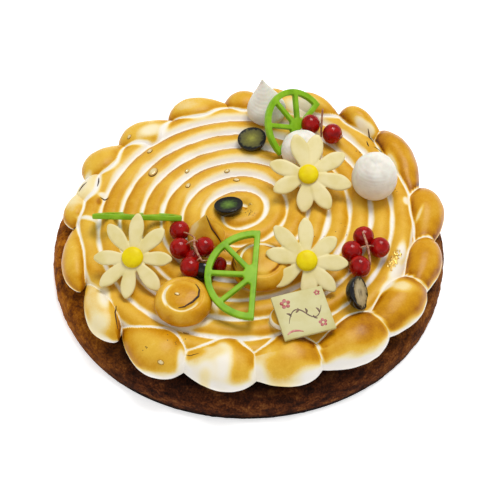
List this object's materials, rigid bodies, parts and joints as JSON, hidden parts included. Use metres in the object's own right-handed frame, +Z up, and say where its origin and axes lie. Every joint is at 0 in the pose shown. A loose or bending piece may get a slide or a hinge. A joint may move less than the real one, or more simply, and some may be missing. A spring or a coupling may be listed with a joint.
{
  "type": "torched lemon meringue tart",
  "caption": "Round lemon meringue tart: brown pastry case, torched spiral of piped meringue in a border of shells, with lime slices, berries, daisies and a plain plaque.",
  "frame": {"origin": "middle of the flat underside of the pastry case", "axes": "+Z up, out of the meringue; +X to the right and -Y towards the viewer with the plaque at the near edge"},
  "size_m": [0.209, 0.209, 0.0533],
  "materials": {
    "baked_pastry": "matt, mottled brown baked crust, darker towards its edges",
    "torched_meringue": "smooth, slightly glossy, golden on top and white in the grooves",
    "white_meringue": "matt off-white with faint ridges",
    "lime_jelly": "moist, slightly translucent lime green",
    "dark_berry": "blue-black skin with an olive cut face",
    "redcurrant": "glossy deep red skin",
    "berry_stem": "dry pinkish tan",
    "white_chocolate": "satin cream",
    "yellow_sugar": "satin bright yellow"
  },
  "bodies": {
    "root": {"pastry_case": "baked_pastry", "meringue_spiral": "torched_meringue", "border_shell_01": "torched_meringue", "border_shell_02": "torched_meringue", "border_shell_03": "torched_meringue", "border_shell_04": "torched_meringue", "border_shell_05": "torched_meringue", "border_shell_06": "torched_meringue", "border_shell_07": "torched_meringue", "border_shell_08": "torched_meringue", "border_shell_09": "torched_meringue", "border_shell_10": "torched_meringue", "border_shell_11": "torched_meringue", "border_shell_12": "torched_meringue", "border_shell_13": "torched_meringue", "border_shell_14": "torched_meringue", "border_shell_15": "torched_meringue", "border_shell_16": "torched_meringue", "border_shell_17": "torched_meringue", "border_shell_18": "torched_meringue", "border_shell_19": "torched_meringue", "kiss_right": "white_meringue", "kiss_upper": "white_meringue", "kiss_back": "white_meringue", "dollop_front": "torched_meringue", "dollop_middle": "torched_meringue", "dollop_peaked": "torched_meringue", "dollop_small": "torched_meringue", "lime_slice_front": "lime_jelly", "lime_slice_back": "lime_jelly", "lime_slice_left": "lime_jelly", "dark_berry_back": "dark_berry", "dark_berry_middle": "dark_berry", "dark_berry_right": "dark_berry", "dark_berry_left": "dark_berry", "redcurrant_left_1": "redcurrant", "redcurrant_left_2": "redcurrant", "redcurrant_left_3": "redcurrant", "redcurrant_left_4": "redcurrant", "redcurrant_left_5": "redcurrant", "redcurrant_left_6": "redcurrant", "redcurrant_top_1": "redcurrant", "redcurrant_top_2": "redcurrant", "redcurrant_right_1": "redcurrant", "redcurrant_right_2": "redcurrant", "redcurrant_right_3": "redcurrant", "redcurrant_right_4": "redcurrant", "stem_left": "berry_stem", "stem_top": "berry_stem", "stem_right": "berry_stem", "daisy_left_petals": "white_chocolate", "daisy_left_centre": "yellow_sugar", "daisy_upper_petals": "white_chocolate", "daisy_upper_centre": "yellow_sugar", "daisy_right_petals": "white_chocolate", "daisy_right_centre": "yellow_sugar", "plaque": "white_chocolate"}
  },
  "joints": []
}
